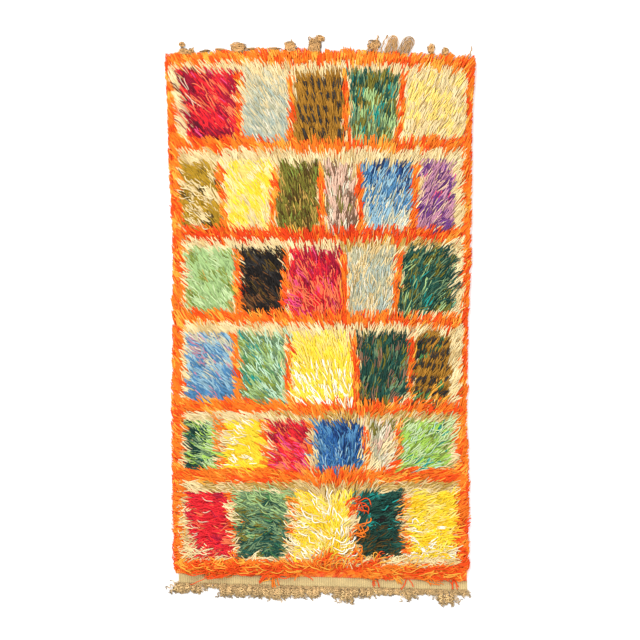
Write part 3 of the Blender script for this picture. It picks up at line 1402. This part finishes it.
class RYA_OT_tufts(bpy.types.Operator):
    """Tangles and loops the warp ends at the heading"""

    bl_idname = "rya.tufts"
    bl_label = "Tangle the warp tufts"

    def execute(self, context):
        warp = context.scene.rya_warp
        chance = np.random.default_rng(warp.seed + 1)
        wound = [self.wind(tangle, chance) for tangle in TANGLES for _ in range(tangle.threads)]
        laid = [path for skein in SKEINS for path in self.lay_skein(skein, chance)]
        paths = np.array(wound + laid)
        is_wound = np.arange(len(paths)) < len(wound)
        darkest = np.where(is_wound, TANGLE_DARKEST, SKEIN_DARKEST)[:, None]
        high = np.clip((paths[:, :, 2] - TUFT_LEVEL) / TUFT_RISE, 0, 1)
        tone = darkest + (BRIGHTEST - darkest) * high
        colours = toned(warp.tuft_colour, tone * chance.uniform(0.55, 1.25, (len(paths), 1)))
        radii = uneven_radii(paths, warp.thread_width / 2, (0.6, 0.0), (0.7, 1.05), chance)
        piece = tubes("warp_tufts", paths, radii, WARP_SIDES, colours)
        material = yarn_material("tuft_yarn", TUFT_PLIES, WARP_SHADE, WARP_ROUGH)
        dressed(piece, material, WARP_SLOT, HEADING_NODE)
        return {"FINISHED"}

    def wind(self, tangle, chance):
        """One thread: from the heading up into its tangle, then round and round in it."""
        share = np.linspace(0, 1, TUFT_STEPS)
        turns = chance.uniform(*TANGLE_TURNS)
        p, q, r, s = chance.random(4) * math.tau
        far = 0.15 + 0.7 * np.abs(np.sin(math.pi * turns * 0.9 * share + p))
        around = math.tau * turns * share + q
        middle_x = tangle.x + 0.3 * tangle.wide * chance.uniform(-1, 1)
        middle_y = tangle.y + 0.3 * tangle.tall * chance.uniform(-1, 1)
        crumple = math.tau * turns * 2.3 * share
        out_x = far * np.cos(around) + 0.22 * np.sin(crumple + r)
        out_y = far * np.sin(around + 0.5 * math.sin(r)) + 0.22 * np.cos(crumple + s)
        x, y = middle_x + tangle.wide * out_x, middle_y + tangle.tall * out_y
        thick = min(max(tangle.tall, TANGLE_THICK[0]), TANGLE_THICK[1])
        z = TUFT_LEVEL + thick * (0.5 + 0.5 * np.sin(math.tau * turns * 1.7 * share + s))
        root_x = tangle.x + chance.uniform(-0.5, 0.5) * tangle.wide
        leave = 1 - ease(np.clip(share / 0.14, 0, 1))
        x = x + leave * (root_x - x)
        y = y + leave * (top_edge(root_x) + 0.004 - y)
        return np.stack([x, y, np.maximum(z * (1 - 0.6 * leave), TUFT_LEVEL)], axis=1)

    def lay_skein(self, skein, chance):
        """The threads of one skein, side by side along its smoothed places."""
        places = np.array(skein.places)
        knots = np.linspace(0, 1, len(places))
        share = np.linspace(0, 1, TUFT_STEPS)
        middle = np.stack([np.interp(share, knots, places[:, axis]) for axis in (0, 1)], axis=1)
        for _ in range(SKEIN_SMOOTHING):
            middle[1:-1] = (middle[:-2] + middle[1:-1] + middle[2:]) / 3
        ahead = np.gradient(middle, axis=0)
        ahead /= np.linalg.norm(ahead, axis=1, keepdims=True)
        cross = np.stack([ahead[:, 1], -ahead[:, 0]], axis=1)
        made = []
        for index in range(skein.threads):
            place = (index + 0.5) / skein.threads * 2 - 1
            off = skein.width / 2 * place * (0.75 + 0.25 * np.sin(math.pi * share))
            off = off + SKEIN_SWING * np.sin(math.tau * (3 * share + chance.random()))
            flat = middle + cross * off[:, None]
            arch = np.sqrt(np.maximum(np.sin(math.pi * share), 0))
            rise = SKEIN_CROWN * (1 - place**2) + chance.uniform(0, SKEIN_LIFT)
            high = FRINGE_LEVEL + rise * arch
            made.append(np.column_stack([flat, high]))
        return made


class RYA_OT_strays(bpy.types.Operator):
    """Lays the long, curled and looped loose yarns on the pile"""

    bl_idname = "rya.strays"
    bl_label = "Lay the loose yarns"

    def execute(self, context):
        pile = context.scene.rya_pile
        chance = np.random.default_rng(pile.seed + 2)
        share = np.linspace(0, 1, LOOSE_STEPS)
        paths, colours = [], []
        for stray in STRAYS:
            for _ in range(stray.count):
                x = stray.x + stray.wide * chance.uniform(-1, 1)
                y = stray.y + stray.tall * chance.uniform(-1, 1)
                angle = math.radians(stray.angle + chance.normal(0, LOOSE_TURN))
                curl = math.radians(stray.curl) * chance.uniform(*LOOSE_CURLS)
                wave = np.sin(math.tau * (1.3 * share + chance.random()))
                heading = angle + curl * (share - 0.5) + (0.15 + 0.12 * abs(curl)) * wave
                step = stray.length * chance.uniform(*LOOSE_LENGTHS) / (len(share) - 1)
                px = x + np.cumsum(np.sin(heading)) * step
                py = y + np.cumsum(np.cos(heading)) * step
                top = stray.high * chance.uniform(*LOOSE_HEIGHTS)
                lift = 0.35 + 0.65 * np.sin(math.pi * np.clip(share * 0.7 + 0.18, 0, 1))
                paths.append(np.stack([px, py, top * lift], axis=1))
                colours.append(DYES[DYE_NAMES.index(stray.dye)] * chance.uniform(*LOOSE_TONES))
        paths = np.array(paths)
        radii = uneven_radii(paths, pile.yarn_width * 0.48, (0.8, 0.0), (0.85, 1.15), chance)
        whole = toned(np.array(colours)[:, None], np.ones(paths.shape[:2]))
        piece = tubes("loose_yarns", paths, radii, YARN_SIDES, whole)
        material = yarn_material("loose_wool", LOOSE_PLIES, LOOSE_SHADE, WOOL_ROUGH)
        dressed(piece, material, PILE_SLOT, PILE_NODE)
        return {"FINISHED"}


# Stage


class RYA_OT_stage(bpy.types.Operator):
    """Sets the floor, the soft studio light and the camera"""

    bl_idname = "rya.stage"
    bl_label = "Set the stage"

    def execute(self, context):
        stage = context.scene.rya_stage
        mesh = bpy.data.meshes.new("floor")
        corners = [(x * FLOOR_REACH, y * FLOOR_REACH, 0) for x, y in SQUARE]
        mesh.from_pydata(corners, [], [(0, 1, 2, 3)])
        mesh.materials.append(floor_material(stage.floor_colour))
        floor = linked("floor", mesh)
        floor.location.z = -FLOOR_DROP
        for name, place, size, share in LAMPS:
            data = bpy.data.lights.new(name, "AREA")
            data.size = size
            data.energy = stage.light * share
            lamp = linked(name, data)
            lamp.location = place
            aim = -lamp.location.normalized()
            lamp.rotation_euler = aim.to_track_quat("-Z", "Y").to_euler()
        world = bpy.data.worlds.new("studio")
        world.use_nodes = True
        background = world.node_tree.nodes["Background"].inputs
        background["Color"].default_value = (1, 1, 1, 1)
        background["Strength"].default_value = AMBIENT
        context.scene.world = world
        context.scene.view_settings.view_transform = "Standard"
        data = bpy.data.cameras.new("camera")
        distance = stage.camera_height - RUG_HEIGHT
        data.lens = data.sensor_width * distance / stage.view_width
        camera = linked("camera", data)
        camera.location = (0, 0, stage.camera_height)
        context.scene.camera = camera
        return {"FINISHED"}


class RYA_PT_panel(bpy.types.Panel):
    """Lists the rug's settings and steps"""

    bl_idname = "RYA_PT_panel"
    bl_label = "Rya rug"
    bl_space_type = "VIEW_3D"
    bl_region_type = "UI"
    bl_category = "Rya rug"

    def draw(self, context):
        for group in GROUPS:
            settings = getattr(context.scene, group)
            for name in settings.__annotations__:
                self.layout.prop(settings, name)
        for operator in OPERATORS:
            self.layout.operator(operator.bl_idname)


GROUPS = {
    "rya_pile": RyaPileSettings,
    "rya_warp": RyaWarpSettings,
    "rya_stage": RyaStageSettings,
}
OPERATORS = (
    RYA_OT_ground, RYA_OT_tufts, RYA_OT_strays, RYA_OT_pile, RYA_OT_end_band, RYA_OT_fringe,
    RYA_OT_stage,
)


def register():
    for cls in (*GROUPS.values(), *OPERATORS, RYA_PT_panel):
        bpy.utils.register_class(cls)
    for name, cls in GROUPS.items():
        setattr(bpy.types.Scene, name, PointerProperty(type=cls))


def unregister():
    for name in GROUPS:
        delattr(bpy.types.Scene, name)
    for cls in reversed((*GROUPS.values(), *OPERATORS, RYA_PT_panel)):
        bpy.utils.unregister_class(cls)


def main():
    register()
    bpy.ops.rya.ground()
    bpy.ops.rya.tufts()
    bpy.ops.rya.strays()
    bpy.ops.rya.pile()
    bpy.ops.rya.end_band()
    bpy.ops.rya.fringe()
    bpy.ops.rya.stage()


if __name__ == "__main__":
    main()
